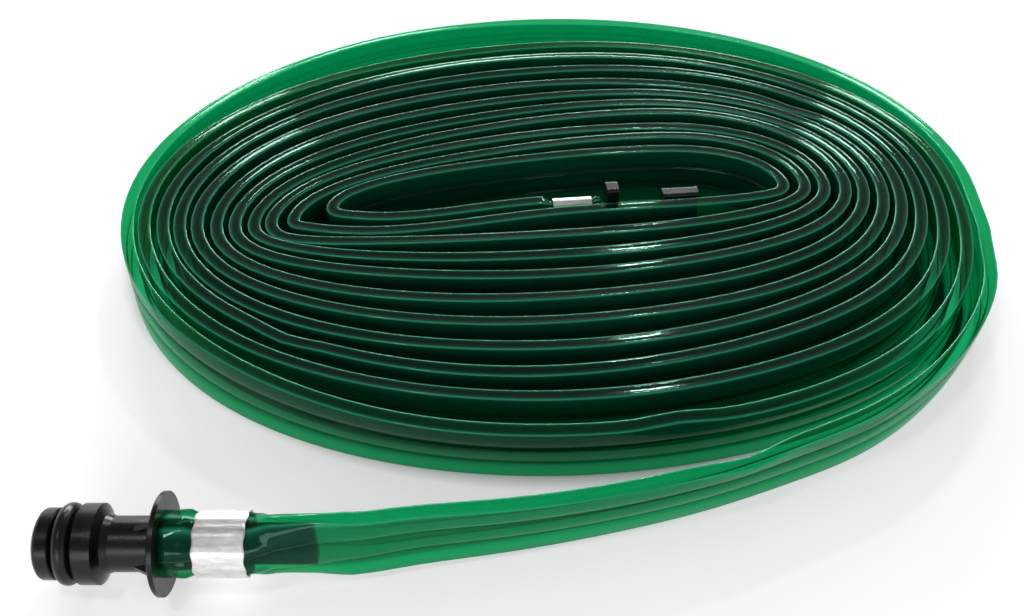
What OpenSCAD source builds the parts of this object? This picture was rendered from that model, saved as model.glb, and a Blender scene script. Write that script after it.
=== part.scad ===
// Flat three-channel soaker hose, wound on edge into a flat oval coil.
// Its outer end runs out in front of the coil to a moulded quick-connect inlet
// with an O-ring and a crimped ferrule, and its inner end, in the eye of the
// coil, is closed by a crimped end plug. Millimetres, +Z up, the coil lies on
// z = 0 and +X runs from the inlet towards the coil's right side.

/* [Hose] */
// Width of the flat hose, from edge to edge
hose_w = 17.5; // [16:0.1:18.5]
// Thickness of the flat hose
hose_t = 3.8; // [3.4:0.1:3.8]
// Share of the thickness that the hose keeps at its two edges
edge_share = 0.7; // [0.55:0.05:0.8]
// Wall of the tubing, which the gathered stub in front of the inlet ferrule adds to its radius
hose_wall = 0.7; // [0.5:0.05:0.9]

/* [Coil] */
// Smallest bend of the hose's middle line, in the innermost hairpin
hairpin_r = 2.6; // [2.5:0.1:2.8]
// How much rounder each further turn's corners are
corner_step = 1.6; // [1.4:0.1:1.8]
// How much fuller than an oval the front right of the outermost turn is, as a share
front_fullness = 0.055; // [0:0.005:0.055]
// Tilt of the innermost turn in plan, as rise over run
inner_tilt = 0.1; // [0.09:0.005:0.11]
// Tilt of the outermost turn in plan
outer_tilt = 0.04; // [0.035:0.005:0.05]

/* [Inlet connector] */
// Diameter of the tip
tip_d = 14.9; // [14:0.1:15.5]
// Length of the tip in front of the O-ring groove
tip_len = 3.6; // [3:0.1:5]
// Width of the O-ring groove
groove_len = 4.6; // [4:0.1:5.5]
// Diameter of the collar that seats in a quick coupling
collar_d = 16.8; // [16.4:0.1:17.2]
// Length of the collar's cylinder
collar_len = 4.3; // [3.5:0.1:6]
// Length of the cone between the collar and the neck
taper_len = 2.1; // [1.5:0.1:3]
// Diameter of the neck
neck_d = 11.6; // [11:0.1:12.4]
// Length of the neck
neck_len = 10.2; // [8:0.1:14]
// Diameter of the water passage
bore_d = 7.2; // [6:0.1:7.6]
// Diameter of the flange, which the connector lies on
flange_d = 21.8; // [20:0.1:24]
// Thickness of the flange
flange_t = 0.9; // [0.8:0.1:1.4]
// Height of the bead round the flange's front edge
bead_t = 0.3; // [0.2:0.1:0.6]
// Width of the bead
bead_w = 1.3; // [0.8:0.1:2]
// Thickness of each gusset
gusset_t = 1.3; // [1:0.1:1.8]
// Length of each gusset along the neck
gusset_len = 4.8; // [4:0.1:7]
// Reach of the gussets from the axis, at the flange
gusset_r = 7.4; // [6.8:0.1:8.6]
// Turn of the gussets about the connector's axis, in degrees
gusset_turn = 6; // [0:1:45]

/* [Connector tail] */
// Diameter of the tail's barbs
barb_d = 10.6; // [10.2:0.1:10.8]
// Depth of the barbs
barb_depth = 0.4; // [0.2:0.1:0.6]
// Number of barbs
barb_count = 4; // [2:1:5]
// Length of the barbed tail behind the flange
barb_len = 17.2; // [15:0.1:17.2]
// Length of the three flat prongs behind the barbs
prong_len = 13.6; // [11:0.1:15]
// Height of each prong
prong_h = 3.2; // [2.8:0.1:3.3]
// Thickness of each prong
prong_t = 3.2; // [2.8:0.1:3.4]
// Gap between neighbouring prongs
prong_gap = 0.7; // [0.5:0.1:0.8]
// Diameter of the water passage in each prong
prong_bore_d = 1.8; // [1.2:0.1:2]

/* [O-ring] */
// Thickness of the O-ring
oring_t = 3.4; // [3:0.1:3.5]
// How far the O-ring stands proud of the collar
oring_proud = 0.15; // [0.05:0.05:0.2]

/* [Ferrules] */
// Length of both ferrules
ferrule_len = 10.7; // [9:0.1:11.5]
// Wall of both ferrules
ferrule_wall = 0.4; // [0.3:0.05:0.6]
// Outer diameter of the inlet ferrule over its crests
ferrule_d = 14; // [13.8:0.1:14.2]
// Depth of the crimped flutes
flute_depth = 0.15; // [0.1:0.05:0.2]
// Number of flutes
flute_count = 10; // [6:1:14]
// Distance from the flange to the inlet ferrule
ferrule_gap = 6.7; // [5:0.1:7.2]

/* [End plug] */
// Thickness of the stop tab, along the hose
tab_t = 3.3; // [2.5:0.1:4]
// Depth of the stop tab, across the hose
tab_w = 4.6; // [4:0.1:5]
// How far the stop tab rises above the hose
tab_rise = 4.5; // [3:0.1:6]
// Length of the plug's neck
plug_neck_len = 12.6; // [10:0.1:14]
// Length of the plug's grip
grip_len = 10; // [8:0.1:11]
// Depth of the plug's grip, across the hose
grip_w = 3.8; // [3.4:0.1:4]
// Length of the plug's tongue in the hose
tongue_len = 13; // [12:0.1:24]
// Thickness of the plug's tongue
tongue_t = 1.7; // [1.4:0.1:1.8]
// Height of the plug's tongue
tongue_h = 9.6; // [8:0.1:10]

/* [Clearances] */
// Clearance round a tail in the hose, and round the crimped hose in a ferrule
fit_gap = 0.1; // [0.05:0.05:0.15]

/* [Hidden] */
$fn = 64;

// The coil's middle, so that the part's own middle is at the origin
coil_middle = [-0.3, 19];
mid_z = hose_w / 2;

// Where each strand of the coil crosses its near, left, far and right sides,
// from the eye outwards, measured from the coil's middle
near_y = [-9.6, -15, -24.3, -32.8, -41.4, -49.6, -58.8, -66.4, -74, -83.2, -92.6];
left_x = [-60, -70, -75.6, -80.6, -85.6, -90.7, -95.8, -100.9, -106, -111.1, -116.2];
far_y = [12.4, 19.4, 25.4, 31.8, 38.5, 46, 53, 61, 68.5, 76, 91.3];
right_x = [65, 71, 76.5, 82, 87, 92, 97, 102, 107, 112, 116.8];
// Where along x each turn reaches its far side
far_x = [30, 30, 28, 25, 20, 15, 12, 8, 5, 2, 0];
// The level in y of each turn's left and right ends
left_y = [-7, -12, -12.8, -13.1, -12.5, -11.2, -9.4, -7.3, -5, -2.5, 0];
right_y = [-8.6, -8.6, -8.4, -8, -7.5, -7, -6.5, -6, -5.4, -4.7, -4];
turns = len(left_x);
steps = 6;

// Connector stations along x, measured back from the hose's cut end
hose_x = -82.6;
axis_y = -120.3;
axis_z = flange_d / 2;
flange_x = hose_x - flange_t;
neck_x = flange_x - neck_len;
collar_x = neck_x - taper_len - collar_len;
groove_x = collar_x - groove_len;
tip_x = groove_x - tip_len;
oring_r = collar_d / 2 + oring_proud - oring_t / 2;
oring_x = groove_x + groove_len / 2;
groove_d = 2 * (oring_r - oring_t / 2 - 0.05);
edge_r = 0.5;
bore_lead = 0.8;

// The hose on the connector's tail
ferrule_x = hose_x + ferrule_gap;
sleeve_r = ferrule_d / 2 - flute_depth - ferrule_wall - fit_gap;
stub_r = sleeve_r + hose_wall;
socket_r = barb_d / 2 + fit_gap;
tail_x = hose_x + barb_len;
tail_end_x = tail_x + prong_len;
bore_end_x = tail_x - 2;
manifold_x = tail_x - 6;
manifold_len = 4.5;
prong_pitch = prong_h + prong_gap;
prongs_h = 3 * prong_h + 2 * prong_gap;
socket_h = prongs_h + 2 * fit_gap;
socket_t = prong_t + 2 * fit_gap;

// The inner end of the hose, which points along the innermost strand
inner_end_x = 13.5;
inner_end = [inner_end_x, near_y[0] + inner_tilt * inner_end_x];
inner_angle = atan(inner_tilt);
end_ferrule_at = 2.6;
crimp_w = hose_w - 2.7;
crimp_t = hose_t - 0.6;
// The ferrule's round ends need this much more room than the crimped hose is wide
round_room = 1;
end_ferrule_w = crimp_w + round_room + 2 * ferrule_wall;
end_ferrule_t = crimp_t + 2 * fit_gap + 2 * ferrule_wall;
tab_at = 1.4;
tab_low = 2;
plug_neck_h = 9;
plug_neck_t = 3.2;
grip_h = 14.8;
grip_lift = 1.6;
plug_round = 0.8;

function unit(v) = v / norm(v);
function left_of(d) = [-d[1], d[0]];

// Heading of a path at point i, and how far a ring there widens to keep the thickness
function heading(p, i) =
    i == 0 ? unit(p[1] - p[0]) :
    i == len(p) - 1 ? unit(p[i] - p[i - 1]) :
    unit(unit(p[i] - p[i - 1]) + unit(p[i + 1] - p[i]));
function miter(p, i) =
    i == 0 || i == len(p) - 1 ? 1 : 1 / max(0.7, heading(p, i) * unit(p[i + 1] - p[i]));

// Point of a quarter of an ellipse, a by b, grown by r: t is 0 at its side, 1 at its top
function quarter(a, b, r, t) =
    let (lean = pow(b / a, b < 1 ? 1 : 0.6),
         p = t >= 1 ? 90 : atan(lean * tan(90 * t)),
         n = unit([b * cos(p), a * sin(p)]))
    [a * cos(p) + r * n[0], b * sin(p) + r * n[1]];

// One quarter of turn k: s and u are the signs of x and y, (cx, cy) its centre
function turn_point(k, side_x, top_y, cx, cy, s, u, t) =
    let (r = min(hairpin_r + corner_step * k, abs(top_y - cy) - 0.01),
         q = quarter(abs(side_x - cx) - r, abs(top_y - cy) - r, r, t))
    [cx + s * q[0], cy + u * q[1]];

// The front right of a turn is a little fuller than an oval, most of all on the outermost
function fullness(k, t) = 1 + front_fullness * pow(k / (turns - 2), 2) * pow(sin(180 * t), 2);

function coil_point(k, q, j) =
    let (t = j / steps)
    q == 0 ? turn_point(k, left_x[k], near_y[k], 0, left_y[k], -1, -1, 1 - t) :
    q == 1 ? turn_point(k, left_x[k], far_y[k], far_x[k], left_y[k], -1, 1, t) :
    q == 2 ? turn_point(k, right_x[k], far_y[k], far_x[k], right_y[k], 1, 1, 1 - t) :
    k < turns - 1 ? fullness(k, t) * turn_point(k, right_x[k], near_y[k + 1], 0, right_y[k], 1, -1, t) :
    [right_x[k], right_y[k]];

// Turns lie flat in plan first, then each is tilted a little less than the one inside it
flat_turns = [for (k = [0 : turns - 1]) for (q = [0 : 3]) for (j = [0 : steps - 1])
    if (q < 3 || k < turns - 1 || j == 0) coil_point(k, q, j)];
last = len(flat_turns) - 1;
turn_path = [for (i = [0 : last])
    let (tilt = inner_tilt + (outer_tilt - inner_tilt) * i / last, p = flat_turns[i])
    [p[0], p[1] + tilt * p[0]]];
// The outer end leaves straight, bearing in a little
end_dir = unit([-0.07, -1]);
coil_end = turn_path[last] + hose_w * end_dir;

// The straight inner end: distance from the cut end, and the section's width and thickness
inner_rings = [
    [0, hose_w - 1, hose_t],
    [end_ferrule_at - 1, hose_w - 1, hose_t],
    [end_ferrule_at - 0.3, crimp_w, crimp_t],
    [end_ferrule_at + ferrule_len + 0.3, crimp_w, crimp_t],
    [end_ferrule_at + ferrule_len + 3, hose_w, hose_t],
];
inner_dir = unit([-1, -inner_tilt]);
coil_path = concat([for (r = inner_rings) inner_end + r[0] * inner_dir],
                   [for (i = [1 : last]) turn_path[i]], [coil_end]);
coil_sizes = concat([for (r = inner_rings) [r[1], r[2]]],
                    [for (i = [0 : last]) [hose_w, hose_t]]);

// Six-sided section, flat at both edges: [across, up]
function flat_section(w, t) =
    let (e = edge_share * t / 2)
    [[t / 2, 0], [e, w / 2], [-e, w / 2], [-t / 2, 0], [-e, -w / 2], [e, -w / 2]];

// Twelve-sided section between a flat oval and a circle: [across, up]
function oval_section(w, t) =
    let (blunt = 1 - 0.6 * (w - t) / w)
    [for (a = [0 : 30 : 330])
        [t / 2 * sign(cos(a)) * pow(abs(cos(a)), blunt), w / 2 * sin(a)]];

// Ring of a section at a point: the section leans by an angle, its top to the path's left
function ring(at, z, dir, widen, lean, section) =
    let (n = left_of(dir))
    [for (s = section)
        let (across = widen * (s[0] * cos(lean) + s[1] * sin(lean)),
             up = s[1] * cos(lean) - s[0] * sin(lean))
        [at[0] + n[0] * across, at[1] + n[1] * across, z + up]];

function tube_faces(rings, sides) = concat(
    [for (r = [0 : rings - 2]) for (s = [0 : sides - 1])
        [r * sides + s, r * sides + (s + 1) % sides, (r + 1) * sides + s]],
    [for (r = [0 : rings - 2]) for (s = [0 : sides - 1])
        [r * sides + (s + 1) % sides, (r + 1) * sides + (s + 1) % sides, (r + 1) * sides + s]],
    [for (s = [1 : sides - 2]) [0, s + 1, s]],
    [for (s = [1 : sides - 2])
        [(rings - 1) * sides, (rings - 1) * sides + s, (rings - 1) * sides + s + 1]]);

module tube(rings) {
    polyhedron(points = [for (r = rings) for (p = r) p],
               faces = tube_faces(len(rings), len(rings[0])), convexity = 20);
}

// The free run: [x, y, lean in degrees, share of the rise to the connector's axis]
run_route = [
    [113.7, -28, 1, 0],
    [110.8, -40.5, 3, 0],
    [105, -52.7, 7, 0],
    [96.1, -65, 10, 0],
    [85.7, -75.8, 11, 0],
    [70.5, -87, 10, 0],
    [53.3, -95.3, 10.5, 0],
    [42.5, -99.9, 11.5, 0],
    [31.3, -104.2, 12, 0.17],
    [16.5, -108.8, 12, 0.34],
    [1.1, -112.6, 10.5, 0.5],
    [-10.5, -114.9, 8.5, 0.65],
    [-22, -116.7, 6, 0.8],
    [-33, -118.4, 3, 0.9],
];
// The hose on the tail: [x, width, thickness, share of the rise]
tail_rings = [
    [tail_end_x + 7, hose_w, hose_t + 1.2, 0.98],
    [tail_end_x, hose_w - 0.3, hose_t + 2, 1],
    [tail_x + 5, prongs_h + 4.5, hose_t + 5.2, 1],
    [ferrule_x + ferrule_len + 0.3, 2 * sleeve_r, 2 * sleeve_r, 1],
    [ferrule_x - 0.3, 2 * sleeve_r, 2 * sleeve_r, 1],
    [ferrule_x - 1.8, 2 * stub_r, 2 * stub_r, 1],
    [hose_x, 2 * stub_r, 2 * stub_r, 1],
];
floor_gap = 0.05;
function rest_z(lean) = hose_w / 2 * cos(lean) + hose_t / 2 * sin(lean) + floor_gap;
function lift(z, share) = z + (axis_z - z) * share;

run_path = concat([coil_end, coil_end + 3 * end_dir], [for (p = run_route) [p[0], p[1]]],
                  [for (t = tail_rings) [t[0], axis_y]]);
run_z = concat([mid_z, mid_z], [for (p = run_route) lift(rest_z(p[2]), p[3])],
               [for (t = tail_rings) lift(mid_z, t[3])]);
run_lean = concat([0, 0], [for (p = run_route) p[2]], [for (t = tail_rings) 0]);
run_sizes = concat([for (i = [0 : len(run_route) + 1]) [hose_w, hose_t]],
                   [for (t = tail_rings) [t[1], t[2]]]);

// Least gap between two strands of the coil, measured in plan between its points and
// the stretches of the middle line more than three thicknesses away along it
function to_stretch(p, a, b) =
    let (d = b - a, s = max(0, min(1, (p - a) * d / (d * d)))) norm(p - a - s * d);
function travelled(p, i = 1, sum = 0) =
    i >= len(p) ? [sum] : concat([sum], travelled(p, i + 1, sum + norm(p[i] - p[i - 1])));
coil_travel = travelled(coil_path);
least_middle = min([for (i = [0 : len(coil_path) - 1]) for (j = [0 : len(coil_path) - 2])
    if (min(abs(coil_travel[i] - coil_travel[j]), abs(coil_travel[i] - coil_travel[j + 1]))
        > 3 * hose_t)
    to_stretch(coil_path[i], coil_path[j], coil_path[j + 1])]);
echo(str("least gap between strands: ", least_middle - hose_t, " mm"));
echo(str("length of hose in the coil: ", coil_travel[len(coil_travel) - 1], " mm"));
run_travel = travelled(run_path);
echo(str("length of the free run: ", run_travel[len(run_travel) - 1], " mm"));

module at_coil() {
    translate([coil_middle[0], coil_middle[1], 0]) children();
}

// The connector's frame: x along its axis from the collar towards the hose
module at_connector() {
    at_coil() translate([0, axis_y, axis_z]) children();
}

// A cylinder along x
module rod(x, length, d1, d2 = undef) {
    translate([x, 0, 0]) rotate([0, 90, 0])
        cylinder(h = length, d1 = d1, d2 = is_undef(d2) ? d1 : d2);
}

// The inner end's frame: x points out of the hose's cut end
module at_inner_end() {
    at_coil() translate([inner_end[0], inner_end[1], mid_z]) rotate(inner_angle) children();
}

// A box along x with its four long edges rounded
module rounded_bar(x, length, w, h, r) {
    translate([x, 0, 0]) rotate([90, 0, 90]) linear_extrude(length) {
        square([w, h - 2 * r], center = true);
        square([w - 2 * r, h], center = true);
        for (sx = [-1, 1]) for (sy = [-1, 1])
            translate([sx * (w / 2 - r), sy * (h / 2 - r)]) circle(r, $fn = 24);
    }
}

// A slot-shaped bar along x, with full round edges
module slot_bar(x, length, w, h) {
    translate([x, 0, 0]) rotate([90, 0, 90]) linear_extrude(length) {
        square([w, h - w], center = true);
        for (s = [-1, 1]) translate([0, s * (h - w) / 2]) circle(w / 2, $fn = 48);
    }
}

module hose_coil() {
    color([0.03, 0.42, 0.24]) difference() {
        at_coil() tube([for (i = [0 : len(coil_path) - 1])
            ring(coil_path[i], mid_z, heading(coil_path, i), miter(coil_path, i), 0,
                 flat_section(coil_sizes[i][0], coil_sizes[i][1]))]);
        at_inner_end()
            translate([-tongue_len / 2, 0, 0])
                cube([tongue_len + 2 * fit_gap, tongue_t + 2 * fit_gap,
                      tongue_h + 2 * fit_gap], center = true);
    }
}

module hose_run() {
    color([0.04, 0.5, 0.28]) difference() {
        at_coil() tube([for (i = [0 : len(run_path) - 1])
            ring(run_path[i], run_z[i], heading(run_path, i), miter(run_path, i), run_lean[i],
                 oval_section(run_sizes[i][0], run_sizes[i][1]))]);
        at_connector() rod(hose_x - 1, barb_len + 1 + fit_gap, 2 * socket_r);
        at_connector() translate([tail_x, -socket_t / 2, -socket_h / 2])
            cube([prong_len + fit_gap, socket_t, socket_h]);
    }
}

module gussets() {
    for (a = [0 : 90 : 270]) rotate([a + gusset_turn, 0, 0])
        translate([0, gusset_t / 2, 0]) rotate([90, 0, 0]) linear_extrude(gusset_t)
            polygon([[flange_x + 0.2, bore_d / 2 + 0.5], [flange_x + 0.2, gusset_r],
                     [flange_x - gusset_len / 4, gusset_r],
                     [flange_x - gusset_len, neck_d / 2 - 0.1],
                     [flange_x - gusset_len, bore_d / 2 + 0.5]]);
}

// Outline of the connector's outside, from the tip to the flange: [x, radius]
connector_outline = concat(
    [[tip_x, tip_d / 2 - 2 * edge_r], [tip_x + edge_r, tip_d / 2 - edge_r / 2],
     [tip_x + 2 * edge_r, tip_d / 2], [groove_x - edge_r / 2, tip_d / 2],
     [groove_x, tip_d / 2 - edge_r / 2], [groove_x, groove_d / 2],
     [collar_x, groove_d / 2], [collar_x, collar_d / 2 - edge_r],
     [collar_x + edge_r, collar_d / 2], [collar_x + collar_len, collar_d / 2],
     [neck_x - 2 * edge_r, neck_d / 2 + edge_r], [neck_x + edge_r, neck_d / 2],
     [flange_x, neck_d / 2], [flange_x, flange_d / 2 - bead_w],
     [flange_x - bead_t, flange_d / 2 - bead_w], [flange_x - bead_t, flange_d / 2 - bead_t],
     [flange_x, flange_d / 2], [flange_x + flange_t, flange_d / 2],
     [flange_x + flange_t, 0], [tip_x, 0]]);

module inlet_connector() {
    barb_pitch = barb_len / barb_count;
    color([0.06, 0.06, 0.07]) at_connector() difference() {
        union() {
            rotate([0, 90, 0]) rotate_extrude($fn = 96)
                polygon([for (p = connector_outline) [p[1], p[0]]]);
            gussets();
            rod(hose_x - 0.1, barb_len + 0.1, barb_d - 2 * barb_depth);
            for (b = [0 : barb_count - 1])
                rod(hose_x + b * barb_pitch, barb_pitch, barb_d, barb_d - 2 * barb_depth);
            for (s = [-1 : 1]) translate([0, 0, s * prong_pitch])
                rounded_bar(tail_x - 0.1, prong_len + 0.1, prong_t, prong_h, 1);
        }
        rod(tip_x - 1, bore_end_x - tip_x + 1, bore_d);
        rod(tip_x - 0.01, bore_lead, bore_d + 2 * bore_lead, bore_d);
        for (s = [-1 : 1]) translate([0, 0, s * prong_pitch])
            rod(manifold_x, tail_end_x - manifold_x + 1, prong_bore_d);
        translate([manifold_x, -prong_bore_d / 2, -prong_pitch])
            cube([manifold_len, prong_bore_d, 2 * prong_pitch]);
    }
}

module inlet_o_ring() {
    color([0.1, 0.1, 0.1]) at_connector() translate([oring_x, 0, 0]) rotate([0, 90, 0])
        rotate_extrude($fn = 96) translate([oring_r, 0]) circle(oring_t / 2, $fn = 32);
}

// Outline of a fluted ring, r at its crests
function fluted(r, count, depth) =
    [for (i = [0 : 12 * count - 1]) let (a = 360 * i / (12 * count), s = (1 - cos(a * count)) / 2)
        (r - depth * s) * [cos(a), sin(a)]];

module inlet_ferrule() {
    color([0.78, 0.79, 0.8]) at_connector() translate([ferrule_x, 0, 0]) rotate([90, 0, 90])
        difference() {
            linear_extrude(ferrule_len)
                polygon(fluted(ferrule_d / 2, flute_count, flute_depth));
            translate([0, 0, -1]) linear_extrude(ferrule_len + 2)
                polygon(fluted(ferrule_d / 2 - ferrule_wall, flute_count, flute_depth));
        }
}

module end_plug() {
    tab_top = mid_z + tab_rise;
    tab_z = (tab_top - mid_z + tab_low) / 2;
    color([0.06, 0.06, 0.07]) at_inner_end() {
        translate([-tongue_len, -tongue_t / 2, -tongue_h / 2])
            cube([tongue_len + tab_at + 0.1, tongue_t, tongue_h]);
        translate([0, 0, tab_z]) rounded_bar(tab_at, tab_t, tab_w, hose_w, plug_round);
        rounded_bar(tab_at + tab_t - 0.1, plug_neck_len + 0.2, plug_neck_t, plug_neck_h,
                    plug_round);
        translate([0, 0, grip_lift])
            rounded_bar(tab_at + tab_t + plug_neck_len, grip_len, grip_w, grip_h, plug_round);
    }
}

module end_ferrule() {
    color([0.78, 0.79, 0.8]) at_inner_end() difference() {
        slot_bar(-end_ferrule_at - ferrule_len, ferrule_len, end_ferrule_t, end_ferrule_w);
        slot_bar(-end_ferrule_at - ferrule_len - 1, ferrule_len + 2,
                 end_ferrule_t - 2 * ferrule_wall, end_ferrule_w - 2 * ferrule_wall);
    }
}

hose_coil();
hose_run();
inlet_connector();
inlet_o_ring();
inlet_ferrule();
end_plug();
end_ferrule();
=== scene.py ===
# %% [markdown]
# # A coiled three-channel soaker hose
#
# The object is a flat hose of clear green PVC, wound on edge into an oval coil.
# Its outer end runs out to a black quick-connect inlet, and its inner end is
# closed by a black plug. This lesson dresses the measured parts of that hose:
# the frame holds their exact places. Lengths are in metres, apart from those
# of the hose and of the ferrule round it, which are worked out in millimetres.

# %% The frame and its measured parts
import math

import bpy
import numpy as np
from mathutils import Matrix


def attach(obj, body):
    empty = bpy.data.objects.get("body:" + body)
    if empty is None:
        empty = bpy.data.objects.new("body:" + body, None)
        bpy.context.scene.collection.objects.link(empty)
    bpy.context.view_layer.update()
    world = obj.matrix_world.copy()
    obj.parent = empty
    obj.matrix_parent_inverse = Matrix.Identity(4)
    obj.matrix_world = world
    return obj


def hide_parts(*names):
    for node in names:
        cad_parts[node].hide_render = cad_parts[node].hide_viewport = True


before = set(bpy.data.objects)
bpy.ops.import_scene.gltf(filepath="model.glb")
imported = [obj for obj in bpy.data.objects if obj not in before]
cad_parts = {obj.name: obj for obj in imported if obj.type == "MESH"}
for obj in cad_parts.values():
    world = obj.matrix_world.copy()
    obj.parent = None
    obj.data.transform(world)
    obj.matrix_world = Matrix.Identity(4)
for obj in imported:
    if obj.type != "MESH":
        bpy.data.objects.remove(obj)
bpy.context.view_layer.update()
MM = 0.001
print("measured parts:", sorted(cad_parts))

# %% [markdown]
# ## The camera
#
# A small object on a table is seen best from a standing person's angle, about
# 42 degrees down. The camera comes first because the hose is a cord, and how
# far a cord may spread depends on what the camera sees. A lens of 40 mm on a
# 36 mm sensor, close up, gives the strong depth of a hand-held picture.

# %% The camera
focal_mm, sensor_mm, degrees_down = 40.43, 36, 42
lens = bpy.data.cameras.new("camera")
lens.lens, lens.sensor_width, lens.sensor_fit = focal_mm, sensor_mm, "HORIZONTAL"
lens.clip_start, lens.clip_end = 0.01, 20
camera = bpy.data.objects.new("camera", lens)
camera.location = (-0.0113, -0.246, 0.20703)
camera.rotation_euler = (math.radians(90 - degrees_down), 0, 0)
bpy.context.scene.collection.objects.link(camera)
bpy.context.scene.camera = camera
bpy.context.scene.view_settings.view_transform = "Standard"
print("camera at", tuple(camera.location))

# %% [markdown]
# ## Where the hose lies
#
# A coil could be drawn by hand, but each turn here is four quarters of an oval,
# one strand's spacing outside the last. So the route is a rule with a short
# list of numbers: where each turn crosses the near, left, far and right sides.
# They are the measured part's own numbers, in millimetres from the coil's middle.
# At the near right the outer turns are a little fuller than an oval.

# %% The turns of the coil
coil_middle = np.array([-0.3, 19.0])
hose_w, hose_t, swept_t, hairpin_r, corner_step = 17.5, 3.8, 3.7, 2.6, 1.6
inner_tilt, outer_tilt, steps = 0.1, 0.04, 6
near_y = [-9.6, -15, -24.3, -32.8, -41.4, -49.6, -58.8, -66.4, -74, -83.2, -92.6]
left_x = [-60, -70, -75.6, -80.6, -85.6, -90.7, -95.8, -100.9, -106, -111.1, -116.2]
far_y = [12.4, 19.4, 25.4, 31.8, 38.5, 46, 53, 61, 68.5, 76, 91.3]
right_x = [65, 71, 76.5, 82, 87, 92, 97, 102, 107, 112, 116.8]
far_x = [30, 30, 28, 25, 20, 15, 12, 8, 5, 2, 0]
left_y = [-7, -12, -12.8, -13.1, -12.5, -11.2, -9.4, -7.3, -5, -2.5, 0]
right_y = [-8.6, -8.6, -8.4, -8, -7.5, -7, -6.5, -6, -5.4, -4.7, -4]
turns, front_fullness = len(left_x), 0.055


def unit(v):
    return np.asarray(v, float) / np.linalg.norm(v)


def quarter(a, b, r, t):
    lean = (b / a) ** (1 if b < 1 else 0.6)
    p = math.pi / 2 if t >= 1 else math.atan(lean * math.tan(math.pi / 2 * t))
    n = unit([b * math.cos(p), a * math.sin(p)])
    return a * math.cos(p) + r * n[0], b * math.sin(p) + r * n[1]


def turn_point(k, side_x, top_y, cx, cy, s, u, t):
    r = min(hairpin_r + corner_step * k, abs(top_y - cy) - 0.01)
    x, y = quarter(abs(side_x - cx) - r, abs(top_y - cy) - r, r, t)
    return cx + s * x, cy + u * y


def coil_point(k, q, j):
    t = j / steps
    if q == 0:
        return turn_point(k, left_x[k], near_y[k], 0, left_y[k], -1, -1, 1 - t)
    if q == 1:
        return turn_point(k, left_x[k], far_y[k], far_x[k], left_y[k], -1, 1, t)
    if q == 2:
        return turn_point(k, right_x[k], far_y[k], far_x[k], right_y[k], 1, 1, 1 - t)
    if k < turns - 1:
        full = 1 + front_fullness * (k / (turns - 2)) ** 2 * math.sin(math.pi * t) ** 2
        x, y = turn_point(k, right_x[k], near_y[k + 1], 0, right_y[k], 1, -1, t)
        return full * x, full * y
    return right_x[k], right_y[k]


flat_turns = [
    coil_point(k, q, j)
    for k in range(turns)
    for q in range(4)
    for j in range(steps)
    if q < 3 or k < turns - 1 or j == 0
]
last = len(flat_turns) - 1
turn_path = [
    np.array([x, y + (inner_tilt + (outer_tilt - inner_tilt) * i / last) * x])
    for i, (x, y) in enumerate(flat_turns)
]
print(len(turn_path), "points in", turns, "turns")

# %% [markdown]
# ## The two ends of the route
#
# The inner end is straight, because a crimp holds it flat on the plug. The
# outer end leaves the coil, leans outward as it swings round in front, and
# rises to the middle of the connector. Each point of it says where it is, how
# far the hose leans over and how much of the rise is done.

# %% The ends, and one list of stations
end_dir = unit([-0.07, -1])
coil_end = turn_path[-1] + hose_w * end_dir
inner_dir = unit([-1, -inner_tilt])
inner_end = np.array([13.5, near_y[0] + inner_tilt * 13.5])
hose_x, axis_y, axis_z = -82.6, -120.3, 10.9
ferrule_x, ferrule_len, tail_x, tail_end_x = -75.9, 10.7, -65.4, -51.8
crimped_d, stub_d, off_floor = 12.7, 13.9, 0.05
run_route = [
    (113.7, -28, 1, 0), (110.8, -40.5, 3, 0), (105, -52.7, 7, 0), (96.1, -65, 10, 0),
    (85.7, -75.8, 11, 0), (70.5, -87, 10, 0), (53.3, -95.3, 10.5, 0),
    (42.5, -99.9, 11.5, 0), (31.3, -104.2, 12, 0.17), (16.5, -108.8, 12, 0.34),
    (1.1, -112.6, 10.5, 0.5), (-10.5, -114.9, 8.5, 0.65), (-22, -116.7, 6, 0.8),
    (-33, -118.4, 3, 0.9),
]


def rest_z(lean):
    a = math.radians(lean)
    return hose_w / 2 * math.cos(a) + hose_t / 2 * math.sin(a) + off_floor


# station: x, y, z, width, thickness, lean, roundness, depth of the creases
stations = []
# at the plug: distance from the cut end, width, thickness, depth of the creases
for d, w, t, c in ((0, 16.5, 3.2, 0.3), (1.6, 16.5, 3.2, 0.3), (2.3, 14.8, 3.1, 0.1),
                   (13.6, 14.8, 3.1, 0.1), (16.3, hose_w, swept_t, 1)):
    stations.append((*(inner_end + d * inner_dir), hose_w / 2, w, t, 0, 0, c))
for p in [*turn_path[1:], coil_end, coil_end + 3 * end_dir]:
    stations.append((*p, hose_w / 2, hose_w, swept_t, 0, 0, 1))
for x, y, lean, share in run_route:
    z = rest_z(lean)
    stations.append((x, y, z + (axis_z - z) * share, hose_w, swept_t, lean, 0, 1))
# at the inlet: x, width, thickness, share of the rise, roundness, depth of the creases
for x, w, t, share, rounded, c in (
    (tail_end_x + 7, hose_w, 4.6, 0.98, 0.1, 0.8),
    (tail_end_x, hose_w - 0.3, 5.8, 1, 0.3, 0.25),
    (tail_x + 5, 15.5, 9, 1, 0.8, 0.1),
    (ferrule_x + ferrule_len + 0.3, crimped_d, crimped_d, 1, 1, 0),
    (ferrule_x - 0.3, crimped_d, crimped_d, 1, 1, 0),
    (ferrule_x - 1.8, stub_d, stub_d, 1, 1, 0),
    (hose_x, stub_d, stub_d, 1, 1, 0),
):
    z = hose_w / 2 + (axis_z - hose_w / 2) * share
    stations.append((x, axis_y, z, w, t, 0, rounded, c))
stations = np.array(stations, float)
stations[:, :2] += coil_middle
print(len(stations), "stations from the plug to the connector")

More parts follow.
